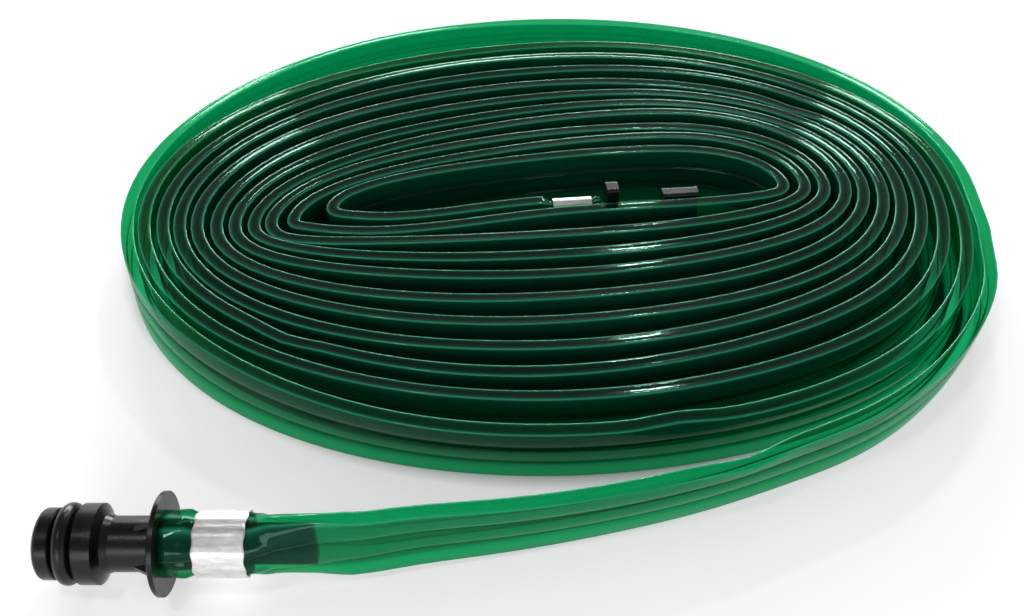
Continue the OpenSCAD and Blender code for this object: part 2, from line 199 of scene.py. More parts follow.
# %% [markdown]
# ## One smooth centreline
#
# Straight pieces between the stations would show as facets in the reflections.
# A natural cubic spline goes through every station with an even change of
# bend, as a springy strip does. Rings are then placed along it, close together
# in the hairpins and at both ends, and further apart on the long sides.

# %% The centreline
bend_per_ring, closest, furthest, at_the_ends = 0.2, 0.9, 4.8, 0.8
inlet_stretch, plug_stretch = 40, 18
step = np.linalg.norm(np.diff(stations[:, :2], axis=0), axis=1)
travel = np.concatenate([[0], np.cumsum(step)])


def spline(u, values, at):
    h, n = np.diff(u), len(u)
    a, rhs = np.eye(n), np.zeros((n, values.shape[1]))
    for i in range(1, n - 1):
        a[i, i - 1 : i + 2] = h[i - 1], 2 * (h[i - 1] + h[i]), h[i]
        before, after = values[i] - values[i - 1], values[i + 1] - values[i]
        rhs[i] = 6 * (after / h[i] - before / h[i - 1])
    m = np.linalg.solve(a, rhs)
    i = np.clip(np.searchsorted(u, at, side="right") - 1, 0, n - 2)
    l, r = (u[i + 1] - at)[:, None], (at - u[i])[:, None]
    g = h[i][:, None]
    return (
        m[i] * l**3 / (6 * g) + m[i + 1] * r**3 / (6 * g)
        + (values[i] / g - m[i] * g / 6) * l + (values[i + 1] / g - m[i + 1] * g / 6) * r
    )


fine = np.linspace(0, travel[-1], int(travel[-1] * 2))
line = spline(travel, stations[:, :2], fine)
ds = np.linalg.norm(np.diff(line, axis=0), axis=1)
turned = np.abs(np.diff(np.unwrap(np.arctan2(*np.diff(line, axis=0).T[::-1]))))
bend = np.convolve(np.append(turned, 0) / ds, np.ones(9) / 9, "same")
spacing = np.clip(bend_per_ring / np.maximum(bend, 1e-6), closest, furthest)
spacing[fine[:-1] > travel[-1] - inlet_stretch] = at_the_ends
spacing[fine[:-1] < plug_stretch] = at_the_ends
rings_at = np.concatenate([[0], np.cumsum(ds / spacing)])
ring_count = int(rings_at[-1])
ring_u = np.interp(np.linspace(0, rings_at[-1], ring_count), rings_at, fine)
along = np.interp(ring_u, fine, np.concatenate([[0], np.cumsum(ds)])) * MM
print(ring_count, "rings,", round(float(along[-1]), 4), "m of hose")

# %% [markdown]
# ## The section of the hose
#
# The hose is three soft tubes side by side: two sheets of film, joined along
# two lines. Seen end on, each side is a row of three low bulges with a sharp
# valley between them, and the edge is a blunt fold with a hollow top. The
# section is given as half its thickness at heights from the middle (0) to the
# edge (1). In the crimps it is a plain, creaseless oval, and near the connector
# it opens to a circle, since the tail inside is round.

# %% The section
flat_up = np.array([
    0, .15, .25, .30, .333, .366, .42, .53, .67, .81, .91, .96, .986, 1, .995, .991])
flat_out = np.array([
    1, .97, .87, .74, .56, .74, .87, .96, 1, .98, .95, .935, .90, .70, .42, 0])
turn = np.radians([0, 8, 13, 17, 20.5, 24, 28, 34, 42, 50, 58, 66, 73, 79, 85, 90])
plain_up, plain_out = np.sin(turn) ** 0.7, np.abs(np.cos(turn)) ** 0.7
round_up, round_out = np.sin(turn), np.cos(turn)
last_i = len(turn) - 1
down = np.concatenate([np.arange(last_i, -1, -1), np.arange(1, last_i + 1)])
i_ring = np.concatenate([down, down[-2:0:-1]])
upper = np.concatenate([np.ones(last_i + 1), -np.ones(last_i)])
upper = np.concatenate([upper, upper[-2:0:-1]])
side = np.concatenate([np.ones(len(down)), -np.ones(len(down) - 2)])
per_ring = len(i_ring)
print(per_ring, "points in each ring")


def at_ring(column):
    return np.interp(ring_u, travel, stations[:, column])


middle = spline(travel, stations[:, :2], ring_u)
z, width, thick, lean, rounded, crease = (at_ring(c) for c in range(2, 8))
smooth = np.ones(7) / 7
z = np.convolve(np.pad(z, 3, "edge"), smooth, "valid")
lean = np.radians(np.convolve(np.pad(lean, 3, "edge"), smooth, "valid"))

# %% [markdown]
# ## Small faults of a real winding
#
# No strand of a soft hose stands quite upright or keeps quite one width. Sums
# of slow waves, each strand out of step with the next, make it sway: by a few
# degrees on the long sides, where there is room, and by about one at the tight
# ends. A wave that depends only on the distance along the hose gives the same
# result every time. The outermost strand leans out in front, and a leaning
# strand is lifted a little, so that its lower edge stays on the floor. Then the
# crimps gather the film in pleats, and a few kinks bend its upper edge.

# %% Sway, and the width that comes with it
sway_degrees, front_lean_degrees, front_reach = 2.6, 8, 90
calm_plug, calm_inlet, calm_fade = 30, 250, 60
a_mm = along / MM
heading = np.gradient(middle, axis=0)
heading /= np.linalg.norm(heading, axis=1)[:, None]
left = np.stack([-heading[:, 1], heading[:, 0]], axis=1)
in_coil = np.clip((a_mm - calm_plug) / calm_fade, 0, 1)
in_coil *= np.clip((a_mm[-1] - calm_inlet - a_mm) / calm_fade, 0, 1)
room = np.clip(a_mm / 900, 0.25, 1) * (0.3 + 1.1 * heading[:, 0] ** 4)
sway = np.sin(a_mm / 37.0 + 1) + 0.7 * np.sin(a_mm / 61.3) + 0.5 * np.sin(a_mm / 17.9 + 2)
near_at = a_mm[np.argmin(middle[:, 1] + 1000 * (a_mm > a_mm[-1] - 300))]
front_lean = np.radians(front_lean_degrees) * np.exp(-(((a_mm - near_at) / front_reach) ** 2))
leaning = np.radians(sway_degrees) * sway * room + front_lean
lean = lean + leaning * in_coil
width = width - 0.12 * (1 + np.sin(a_mm / 29.0)) * in_coil
lifted = hose_w / 2 * (np.cos(leaning) - 1) + hose_t / 2 * np.sin(np.abs(leaning))
z = z + (lifted - 0.5 * (hose_w - width)) * in_coil
drift = 0.5 * np.sin(a_mm / 83.0) + 0.4 * np.sin(a_mm / 47.0 + 1)
middle = middle + left * (drift * room * in_coil)[:, None]
lean_range = np.degrees([leaning.min(), leaning.max()]).round(1)
print("lean of", lean_range[0], "to", lean_range[1], "degrees")


# %% The rings of the outer skin
def blended(flat, plain, full):
    c, r = crease[:, None], rounded[:, None]
    return (c * flat[i_ring] + (1 - c) * plain[i_ring]) * (1 - r) + r * full[i_ring]


across_mm = blended(flat_out, plain_out, round_out) * side * thick[:, None] / 2
up_mm = blended(flat_up, plain_up, round_up) * upper * width[:, None] / 2
# film gathered by the crimp: short pleats on both sides of the inlet ferrule
from_coil = middle - coil_middle
pleats, pleat_depth = 9, 0.3
pleat_at = np.zeros(ring_count)
for x, reach in ((ferrule_x - 2.4, 1.9), (tail_x + 3.4, 2.2)):
    pleat_at += np.exp(-(((from_coil[:, 0] - x) / reach) ** 2))
pleat_at *= rounded
turn_ring = np.arctan2(up_mm, across_mm)
pleat = pleat_depth * np.sin(pleats * turn_ring + 2 * np.sin(2 * turn_ring)) * pleat_at[:, None]
across_mm = across_mm + pleat * np.cos(turn_ring)
up_mm = up_mm + pleat * np.sin(turn_ring)
# four places where the winder has kinked the upper edge: x, y, reach, push
kinks = ((24, -91, 8, -1.4), (41, -101, 8, 1.3), (-62, -62, 7, 1.0), (74, 36, 7, -1.0))
upper_part = np.clip(up_mm / hose_w * 2, 0, 1) ** 2
for x, y, reach, push in kinks:
    apart = np.hypot(from_coil[:, 0] - x, from_coil[:, 1] - y)
    kink = np.exp(-(((a_mm - a_mm[np.argmin(apart)]) / reach) ** 2))[:, None]
    across_mm = across_mm + push * kink * upper_part
    up_mm = up_mm - 0.25 * abs(push) * kink * upper_part
cos_l, sin_l = np.cos(lean)[:, None], np.sin(lean)[:, None]
out = across_mm * cos_l + up_mm * sin_l
rise = up_mm * cos_l - across_mm * sin_l
outer = np.empty((ring_count, per_ring, 3))
outer[..., 0] = middle[:, 0:1] + left[:, 0:1] * out
outer[..., 1] = middle[:, 1:2] + left[:, 1:2] * out
outer[..., 2] = z[:, None] + rise
print("hose from", outer.min((0, 1)).round(2), "to", outer.max((0, 1)).round(2), "mm")

# %% [markdown]
# ## The sockets in the two ends
#
# The hose is hollow where something is pushed into it: a round barb and three
# flat prongs at the inlet, a thin tongue at the plug. The same rings turn back
# at each cut end and go inside as the socket's wall, so the mesh stays one
# closed skin.


# %% The sockets
def inner_ring(at, dir2, z_at, w, t, as_circle):
    n = np.array([-dir2[1], dir2[0]])
    power = 1 if as_circle else 0.3
    o = round_out[i_ring] ** power * side * t / 2
    u = round_up[i_ring] ** power * upper * w / 2
    return np.stack([at[0] + n[0] * o, at[1] + n[1] * o, z_at + u], axis=1)


barb_d, prong_w, prong_t, tongue_w, tongue_t, tongue_len = 10.8, 11.2, 3.5, 9.8, 1.9, 13.1
inlet_socket = []
for x, w, t, as_circle in (
    (hose_x, barb_d, barb_d, True), (hose_x + 9, barb_d, barb_d, True),
    (tail_x + 0.1, barb_d, barb_d, True), (tail_x + 0.2, prong_w, prong_t, False),
    (tail_end_x + 0.1, prong_w, prong_t, False),
):
    at = (coil_middle[0] + x, coil_middle[1] + axis_y)
    inlet_socket.append(inner_ring(at, heading[-1], axis_z, w, t, as_circle))
plug_socket = []
for d in (tongue_len, 6, 0):
    at = coil_middle + inner_end + d * inner_dir
    plug_socket.append(inner_ring(at, heading[0], hose_w / 2, tongue_w, tongue_t, False))
print(len(inlet_socket), "rings in the inlet's socket,", len(plug_socket), "in the plug's")

# %% The mesh of the hose
skin = np.concatenate([plug_socket, outer, inlet_socket]) * MM
all_rings = len(skin)
ring_along = np.concatenate([
    [0] * len(plug_socket), along, [along[-1]] * len(inlet_socket)])
quads = []
for start in range(0, (all_rings - 1) * per_ring, per_ring):
    after = start + per_ring
    for c in range(per_ring):
        d = (c + 1) % per_ring
        quads.append((start + c, after + c, after + d, start + d))
cap_a = tuple(range(per_ring))
cap_b = tuple((all_rings - 1) * per_ring + c for c in range(per_ring))[::-1]
hose_mesh = bpy.data.meshes.new("green_hose")
hose_mesh.from_pydata(skin.reshape(-1, 3).tolist(), [], quads + [cap_a, cap_b])
hose_mesh.validate()
for name, value in (
    ("across", np.tile(flat_up[i_ring] * upper, all_rings)),
    ("along", np.repeat(ring_along, per_ring)),
    ("fold", np.tile(i_ring / last_i, all_rings)),
):
    attribute = hose_mesh.attributes.new(name, "FLOAT", "POINT")
    attribute.data.foreach_set("value", value.astype(np.float32))
hose_mesh.polygons.foreach_set("use_smooth", [True] * len(hose_mesh.polygons))
hose = bpy.data.objects.new("green_hose", hose_mesh)
bpy.context.scene.collection.objects.link(hose)


def signed_volume(mesh):
    mesh.calc_loop_triangles()
    v = np.array([x.co for x in mesh.vertices])
    t = np.array([x.vertices for x in mesh.loop_triangles])
    return float(np.einsum("ij,ij->i", v[t[:, 0]], np.cross(v[t[:, 1]], v[t[:, 2]])).sum() / 6)


if signed_volume(hose_mesh) < 0:
    hose_mesh.flip_normals()
print(len(hose_mesh.polygons), "faces,", round(signed_volume(hose_mesh) * 1e6, 1), "cm3")

# %% [markdown]
# ## Helpers for materials
#
# A shader tree is easiest to read as a list of nodes with their inputs beside
# them. These helpers add one node, set its inputs by name and join them.


# %% Small helpers for node trees
def new_material(name):
    m = bpy.data.materials.new(name)
    m.use_nodes = True
    m.node_tree.nodes.clear()
    return m, m.node_tree


def put(tree, value, socket):
    if isinstance(value, bpy.types.NodeSocket):
        tree.links.new(value, socket)
    else:
        socket.default_value = value


def node(tree, kind, inputs=(), **settings):
    n = tree.nodes.new(kind)
    for k, v in settings.items():
        setattr(n, k, v)
    for k, v in dict(inputs).items():
        put(tree, v, n.inputs[k])
    return n


def maths(tree, operation, a, b=0.0, clamp=False):
    n = node(tree, "ShaderNodeMath", {0: a, 1: b}, operation=operation)
    n.use_clamp = clamp
    return n.outputs[0]


def ramp(tree, value, stops):
    n = node(tree, "ShaderNodeValToRGB", {"Fac": value})
    bar = n.color_ramp
    while len(bar.elements) < len(stops):
        bar.elements.new(0.5)
    for e, (at, colour) in zip(bar.elements, stops):
        e.position = at
        e.color = (*colour, 1)
    return n.outputs["Color"]


def finish_material(tree, shader):
    node(tree, "ShaderNodeOutputMaterial", {"Surface": shader})


# %% [markdown]
# ## Clear green PVC
#
# The film lets light through and colours it: one strand against white is a
# bright leaf green, two are bottle green and four are nearly black. Glass
# with refraction would make the hose look like a solid bar, because it hides
# that the film is thin. So the surface mixes three things: a Transparent shader
# with the film's colour, a share of matt green skin that keeps the coil from
# turning black, and a thin gloss that catches the lamps. Light and shade are
# painted along the seams and the folded edges: a painted mint highlight line
# on each seam and on the fold's shoulder and ridge, painted dark lines of shade
# on both sides of each seam, and painted shade in the hollow top. A ramp over
# "fold", which runs from 0 at mid-height to 1 at the edge, says where each of
# them lies.

# %% The film
film, tree = new_material("green_pvc_film")
across = node(tree, "ShaderNodeAttribute", attribute_name="across").outputs["Fac"]
lengthwise = node(tree, "ShaderNodeAttribute", attribute_name="along").outputs["Fac"]
fold = node(tree, "ShaderNodeAttribute", attribute_name="fold").outputs["Fac"]
weld, shoulder, ridge = 4 / last_i, 12.4 / last_i, 13.2 / last_i
# see-through colour with painted light: brighter at the seam and at the fold's shoulder and ridge
# (painted highlight), darker on both sides of the seam (painted shade)
through = ramp(tree, fold, (
    (0.0, (0.012, 0.47, 0.25)), (0.13, (0.012, 0.46, 0.24)), (0.21, (0.002, 0.31, 0.15)),
    (0.24, (0.002, 0.30, 0.14)), (weld, (0.10, 0.80, 0.50)), (0.30, (0.002, 0.30, 0.14)),
    (0.34, (0.004, 0.39, 0.19)), (0.45, (0.012, 0.47, 0.25)), (0.66, (0.012, 0.45, 0.24)),
    (shoulder, (0.05, 0.80, 0.45)), (ridge, (0.10, 0.90, 0.55)), (1.0, (0.05, 0.84, 0.46)),
))
# skin colour with painted light: mint at the seam and at the fold's shoulder and ridge (painted
# highlight), dark beside the seam and in the hollow top (painted shade)
skin_with_painted_lines = ramp(tree, fold, (
    (0.0, (0.003, 0.18, 0.10)), (0.21, (0.002, 0.07, 0.04)), (0.245, (0.002, 0.05, 0.03)),
    (weld, (0.06, 0.36, 0.22)), (0.29, (0.002, 0.05, 0.03)), (0.36, (0.003, 0.14, 0.08)),
    (0.45, (0.003, 0.18, 0.10)), (0.64, (0.003, 0.17, 0.095)), (0.74, (0.006, 0.19, 0.11)),
    (shoulder, (0.035, 0.46, 0.24)), (ridge, (0.02, 0.28, 0.14)), (0.91, (0.003, 0.07, 0.038)),
    (1.0, (0.003, 0.05, 0.03)),
))
# more skin where the painted lines lie, so that they show
covered = ramp(tree, fold, [(at, (share,) * 3) for at, share in (
    (0.0, 0.20), (0.20, 0.18), (weld, 0.35), (0.34, 0.18), (0.66, 0.20), (shoulder, 0.50),
    (ridge, 0.35), (1.0, 0.14),
)])


def film_relief(per_metre, per_side, detail, depth, under=None):
    spread = node(tree, "ShaderNodeCombineXYZ", {
        "X": maths(tree, "MULTIPLY", lengthwise, per_metre),
        "Y": maths(tree, "MULTIPLY", across, per_side)})
    noise = node(tree, "ShaderNodeTexNoise", {
        "Vector": spread.outputs[0], "Scale": 1.0, "Detail": detail})
    inputs = {"Height": noise.outputs["Fac"], "Distance": depth, "Strength": 1.0}
    if under is not None:
        inputs["Normal"] = under
    return node(tree, "ShaderNodeBump", inputs).outputs[0]


wavy = film_relief(26.0, 0.7, 0.0, 0.0004)
lined = film_relief(5.0, 14.0, 2.0, 0.0000012, wavy)
green_skin = node(tree, "ShaderNodeBsdfPrincipled", {
    "Base Color": skin_with_painted_lines, "Roughness": 0.35, "IOR": 1.4, "Specular IOR Level": 0.1,
    "Normal": lined})
print("film colours, skin and relief:", len(tree.nodes), "nodes")

# %% The film's light
ray = node(tree, "ShaderNodeLightPath").outputs
unseen = maths(tree, "ADD", ray["Is Shadow Ray"], ray["Is Diffuse Ray"], clamp=True)
in_shade = (0.0005, 0.12, 0.05, 1)
deep = node(tree, "ShaderNodeMix", {
    0: unseen, 6: through, 7: in_shade}, data_type="RGBA").outputs[2]
clear = node(tree, "ShaderNodeBsdfTransparent", {"Color": deep})
body = node(tree, "ShaderNodeMixShader", {
    0: covered, 1: clear.outputs[0], 2: green_skin.outputs[0]})
gloss = node(tree, "ShaderNodeBsdfGlossy", {
    "Color": (0.58, 1, 0.78, 1), "Roughness": 0.075, "Normal": lined})
facing = node(tree, "ShaderNodeLayerWeight", {"Blend": 0.5, "Normal": lined}).outputs["Facing"]
head_on, at_the_rim, falloff = 0.018, 0.6, 5.0
glancing = maths(tree, "MULTIPLY", maths(tree, "POWER", facing, falloff), at_the_rim)
mirror = maths(tree, "ADD", head_on, glancing)
finish_material(tree, node(tree, "ShaderNodeMixShader", {
    0: mirror, 1: body.outputs[0], 2: gloss.outputs[0]}).outputs[0])
hose.data.materials.append(film)
print("film:", len(tree.nodes), "nodes")

# %% [markdown]
# ## Grain that several finishes share
#
# Black plastic and rubber both come out of a blasted mould, so they have the
# same fine pits at different sizes. That is one node group, used twice. It
# puts out a height for the bump and a roughness that varies a little.

# %% The mould grain group
grain = bpy.data.node_groups.new("mould_grain", "ShaderNodeTree")
for name, value in (("Scale", 900.0), ("Rough", 0.4), ("Spread", 0.1)):
    s = grain.interface.new_socket(name, in_out="INPUT", socket_type="NodeSocketFloat")
    s.default_value = value
for name in ("Height", "Roughness", "Worn"):
    grain.interface.new_socket(name, in_out="OUTPUT", socket_type="NodeSocketFloat")
g_in = grain.nodes.new("NodeGroupInput")
g_place = node(grain, "ShaderNodeTexCoord").outputs["Object"]
g_pits = node(grain, "ShaderNodeTexNoise", {
    "Vector": g_place, "Scale": g_in.outputs["Scale"], "Detail": 4.0})
g_cloud = node(grain, "ShaderNodeTexNoise", {"Vector": g_place, "Scale": 160.0, "Detail": 3.0})
g_change = maths(grain, "SUBTRACT", g_cloud.outputs["Fac"], 0.5)
g_rough = maths(grain, "ADD", g_in.outputs["Rough"], maths(
    grain, "MULTIPLY", g_change, g_in.outputs["Spread"]))
node(grain, "NodeGroupOutput", {
    "Height": g_pits.outputs["Fac"], "Roughness": g_rough, "Worn": g_cloud.outputs["Fac"]})
print("group sockets:", [s.name for s in grain.interface.items_tree])


# %% Black plastic and rubber
def moulded(name, dark, pale, rough, spread, scale, depth):
    m, t = new_material(name)
    g = node(t, "ShaderNodeGroup", node_tree=grain)
    for k, v in (("Scale", scale), ("Rough", rough), ("Spread", spread)):
        g.inputs[k].default_value = v
    colour = ramp(t, g.outputs["Worn"], ((0.35, dark), (0.75, pale)))
    bump = node(t, "ShaderNodeBump", {
        "Height": g.outputs["Height"], "Distance": depth, "Strength": 0.6})
    body = node(t, "ShaderNodeBsdfPrincipled", {
        "Base Color": colour, "Roughness": g.outputs["Roughness"], "IOR": 1.5,
        "Specular IOR Level": 0.3, "Normal": bump.outputs[0]})
    finish_material(t, body.outputs[0])
    return m


black_plastic = moulded("black_plastic", (0.003, 0.003, 0.0034), (0.008, 0.008, 0.009),
                        0.27, 0.25, 1400.0, 0.00003)
ring_rubber = moulded("ring_rubber", (0.005, 0.005, 0.005), (0.011, 0.011, 0.011),
                      0.30, 0.2, 2200.0, 0.00002)
print("moulded finishes:", black_plastic.name, ring_rubber.name)

# %% [markdown]
# ## Crimped aluminium
#
# The ferrules are short tubes cut from aluminium and squeezed by ribbed jaws.
# The metal is bright, with fine lines along it where it slid in the jaws, and
# duller patches where they rubbed. Scratches could be painted, but a stretched
# noise does it by rule: slow along the hose and quick around it.

# %% Aluminium
aluminium, tree = new_material("crimped_aluminium")
place = node(tree, "ShaderNodeTexCoord").outputs["Object"]
lengthways = node(tree, "ShaderNodeMapping", {
    "Vector": place, "Scale": (420.0, 2400.0, 2400.0)}).outputs[0]
brushed = node(tree, "ShaderNodeTexNoise", {"Vector": lengthways, "Scale": 1.0, "Detail": 4.0})
in_patches = node(tree, "ShaderNodeMapping", {
    "Vector": place, "Scale": (300.0, 900.0, 900.0)}).outputs[0]
rubbed = node(tree, "ShaderNodeTexNoise", {
    "Vector": in_patches, "Scale": 1.0, "Detail": 5.0, "Roughness": 0.65})
metal = ramp(tree, rubbed.outputs["Fac"], (
    (0.3, (0.62, 0.61, 0.59)), (0.55, (0.82, 0.81, 0.79)), (0.8, (0.94, 0.93, 0.92))))
metal_rough = ramp(tree, brushed.outputs["Fac"], ((0.3, (0.36,) * 3), (0.7, (0.52,) * 3)))
metal_bump = node(tree, "ShaderNodeBump", {
    "Height": brushed.outputs["Fac"], "Distance": 0.00004, "Strength": 0.8})
body = node(tree, "ShaderNodeBsdfPrincipled", {
    "Base Color": metal, "Metallic": 1.0, "Roughness": metal_rough,
    "Normal": metal_bump.outputs[0]})
finish_material(tree, body.outputs[0])
print("metal:", aluminium.name)


# %% [markdown]
# ## The fluted inlet ferrule
#
# The crimping jaws press ten shallow flutes along the inlet ferrule, and the
# metal that they push aside makes both of its rims wavy. A tube can be bent
# point by point in a sculpt, but the flutes all follow one rule, so Geometry
# Nodes move the points of a plain closed tube: inwards by a cosine of the angle
# round the axis, and along the axis by the same cosine near the rims.

# %% A closed tube to crimp
tube_r, tube_bore, tube_sides, long_rings, bore_rings = 7.0, 6.45, 200, 14, 8
tube_axis = np.array([coil_middle[1] + axis_y, axis_z])
tube_start = coil_middle[0] + ferrule_x
rim = [(0, tube_bore), (0, tube_r - 0.12), (0.04, tube_r - 0.04), (0.12, tube_r)]
tube_rings = rim + [(x, tube_r) for x in np.linspace(0.6, ferrule_len - 0.6, long_rings)]
tube_rings += [(ferrule_len - x, r) for x, r in reversed(rim)]
tube_rings += [(x, tube_bore) for x in np.linspace(ferrule_len, 0, bore_rings)[1:-1]]
angle = np.linspace(0, 2 * np.pi, tube_sides, endpoint=False)
tube_points = MM * np.array([
    (tube_start + x, tube_axis[0] + r * math.cos(a), tube_axis[1] + r * math.sin(a))
    for x, r in tube_rings for a in angle
])
tube_faces = []
for i in range(len(tube_rings)):
    here, after = i * tube_sides, (i + 1) % len(tube_rings) * tube_sides
    for c in range(tube_sides):
        d = (c + 1) % tube_sides
        tube_faces.append((here + c, here + d, after + d, after + c))
tube_mesh = bpy.data.meshes.new("crimped_ferrule")
tube_mesh.from_pydata(tube_points.tolist(), [], tube_faces)
tube = bpy.data.objects.new("crimped_ferrule", tube_mesh)
bpy.context.scene.collection.objects.link(tube)
print("tube of", len(tube_faces), "faces")

# %% The crimp, as Geometry Nodes
crimp = bpy.data.node_groups.new("crimp_flutes", "GeometryNodeTree")
crimp.interface.new_socket("Geometry", in_out="INPUT", socket_type="NodeSocketGeometry")
for name, value in (
    ("Flutes", 10.0), ("Depth", 0.00018), ("Wave", 0.00014), ("Outside", 0.0067),
    ("Half Length", 0.00535), ("Ripples", 23.0), ("Ripple Size", 0.22),
):
    s = crimp.interface.new_socket(name, in_out="INPUT", socket_type="NodeSocketFloat")
    s.default_value = value
crimp.interface.new_socket("Middle", in_out="INPUT", socket_type="NodeSocketVector")
crimp.interface.new_socket("Metal", in_out="INPUT", socket_type="NodeSocketMaterial")
crimp.interface.new_socket("Geometry", in_out="OUTPUT", socket_type="NodeSocketGeometry")
c_in = crimp.nodes.new("NodeGroupInput").outputs
place = node(crimp, "GeometryNodeInputPosition").outputs[0]
from_middle = node(crimp, "ShaderNodeVectorMath", {
    0: place, 1: c_in["Middle"]}, operation="SUBTRACT")
part = node(crimp, "ShaderNodeSeparateXYZ", {0: from_middle.outputs[0]}).outputs


def crimp_maths(operation, a, b=0.0):
    return maths(crimp, operation, a, b)


def product(a, b):
    return crimp_maths("MULTIPLY", a, b)


turned_by = crimp_maths("ARCTAN2", part["Z"], part["Y"])
far_out = crimp_maths("SQRT", crimp_maths(
    "ADD", product(part["Y"], part["Y"]), product(part["Z"], part["Z"])))
crest = crimp_maths("COSINE", product(turned_by, c_in["Flutes"]))
ripple = product(crimp_maths("SINE", product(turned_by, c_in["Ripples"])), c_in["Ripple Size"])
# from 0 on the highest crest to about -1 in the deepest flute
highest, to_one = 1.22, 0.41
press = product(crimp_maths("SUBTRACT", crimp_maths("ADD", crest, ripple), highest), to_one)
on_the_outside = crimp_maths("GREATER_THAN", far_out, c_in["Outside"])
inward = product(product(press, c_in["Depth"]), on_the_outside)
share = crimp_maths("DIVIDE", inward, far_out)
lengthwise_part = crimp_maths("ABSOLUTE", crimp_maths("DIVIDE", part["X"], c_in["Half Length"]))
near_rim = crimp_maths("POWER", lengthwise_part, 3.0)
shove = product(product(crest, c_in["Wave"]), product(near_rim, crimp_maths("SIGN", part["X"])))
moved = node(crimp, "ShaderNodeCombineXYZ", {
    "X": shove, "Y": product(part["Y"], share), "Z": product(part["Z"], share)})
print("crimp tree:", len(crimp.nodes), "nodes")

# %% The crimped ferrule as a plain mesh
pressed = node(crimp, "GeometryNodeSetPosition", {
    "Geometry": c_in["Geometry"], "Offset": moved.outputs[0]})
real = node(crimp, "GeometryNodeRealizeInstances", {"Geometry": pressed.outputs[0]})
metalled = node(crimp, "GeometryNodeSetMaterial", {
    "Geometry": real.outputs[0], "Material": c_in["Metal"]})
node(crimp, "NodeGroupOutput", {"Geometry": metalled.outputs[0]})
press_tool = tube.modifiers.new("crimp", "NODES")
press_tool.node_group = crimp
tube_middle = np.array([tube_start + ferrule_len / 2, *tube_axis]) * MM
settings = {"Middle": tuple(tube_middle), "Metal": aluminium}
for item in crimp.interface.items_tree:
    if item.name in settings:
        press_tool[item.identifier] = settings[item.name]
bpy.context.view_layer.update()
evaluated = tube.evaluated_get(bpy.context.evaluated_depsgraph_get())
crimped = bpy.data.meshes.new_from_object(evaluated)
tube.modifiers.remove(press_tool)
tube.data = crimped
crimped.polygons.foreach_set("use_smooth", [True] * len(crimped.polygons))
if signed_volume(crimped) < 0:
    crimped.flip_normals()
print("ferrule:", len(crimped.polygons), "faces,", round(signed_volume(crimped) * 1e9, 1), "mm3")

# %% [markdown]
# ## The other fittings
#
# The connector, its O-ring, the plug and the small end ferrule have exact
# measured meshes. They could be modelled again with softer edges, but at this
# size their finish is what is seen, so each keeps its mesh and gets a material.


# %% Finishes on the measured parts
def dress(name, material):
    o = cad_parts[name]
    o.data.materials.clear()
    o.data.materials.append(material)
    print(name, "->", material.name)


dress("inlet_connector", black_plastic)
dress("end_plug", black_plastic)
dress("inlet_o_ring", ring_rubber)
dress("end_ferrule", aluminium)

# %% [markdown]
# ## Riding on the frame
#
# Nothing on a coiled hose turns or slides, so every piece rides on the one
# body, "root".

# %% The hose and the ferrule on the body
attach(hose, "root")
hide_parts("hose_coil", "hose_run")
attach(tube, "root")
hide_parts("inlet_ferrule")
print("cord of", round(float(along[-1]), 3), "m")

# %% [markdown]
# ## The floor
#
# A translucent thing on a dark table looks black, so the hose lies on white
# paper that is a little bright of itself. A stronger lamp would bleach the
# object as well, so the paper glows only for rays that look at it straight, in
# a reflection or through glass, and the object's shadow stays on it. Under the
# coil only light that has passed many layers of film would arrive, which a
# glow takes no account of. So within the coil's oval and in the wedge where the
# outer end leaves it, shade is painted on the paper: it glows less there and is
# painted green, for the dim green light that falls through the film.


# %% Helpers for light
def seen_directly(tree):
    ray = node(tree, "ShaderNodeLightPath").outputs
    reflected = maths(tree, "ADD", ray["Is Glossy Ray"], ray["Is Transmission Ray"])
    return maths(tree, "ADD", ray["Is Camera Ray"], reflected, clamp=True)


def between(tree, value, low, high, at_low=0.0, at_high=1.0):
    return node(tree, "ShaderNodeMapRange", {
        "Value": value, "From Min": low, "From Max": high,
        "To Min": at_low, "To Max": at_high}).outputs[0]


def distance(tree, place):
    return node(tree, "ShaderNodeVectorMath", {0: place}, operation="LENGTH").outputs["Value"]


# %% The paper
paper, tree = new_material("white_paper")
seen = seen_directly(tree)
layers = node(tree, "ShaderNodeLightPath").outputs["Transparent Depth"]
bare = maths(tree, "LESS_THAN", layers, 0.5)
place = node(tree, "ShaderNodeTexCoord").outputs["Object"]
fibre = node(tree, "ShaderNodeTexNoise", {"Vector": place, "Scale": 40.0, "Detail": 4.0})
shade = ramp(tree, fibre.outputs["Fac"], ((0.3, (0.86, 0.86, 0.86)), (0.7, (0.88, 0.88, 0.88))))
oval_x, oval_y = 0.118, 0.094
from_coil_middle = distance(tree, node(tree, "ShaderNodeMapping", {
    "Vector": place, "Location": (-coil_middle[0] * MM / oval_x, -coil_middle[1] * MM / oval_y, 0),
    "Scale": (1 / oval_x, 1 / oval_y, 0)}).outputs[0])
from_wedge = distance(tree, node(tree, "ShaderNodeMapping", {
    "Vector": place, "Location": (0.104, -0.025, 0), "Rotation": (0, 0, math.radians(59)),
    "Scale": (0.018, 0.006, 1)}, vector_type="TEXTURE").outputs[0])
past_coil = between(tree, from_coil_middle, 0.96, 1.04)
past_wedge = between(tree, from_wedge, 0.85, 1.15)
beside_coil = maths(tree, "MULTIPLY", past_coil, past_wedge)
# seen through the film, the glow is turned down under the coil's oval: painted shade
under_coil, in_the_open = 0.06, 0.69
through_film = maths(tree, "ADD", under_coil, maths(
    tree, "MULTIPLY", between(tree, from_coil_middle, 0.88, 1.0), in_the_open))
near_glow, far_glow = 0.43, 0.68
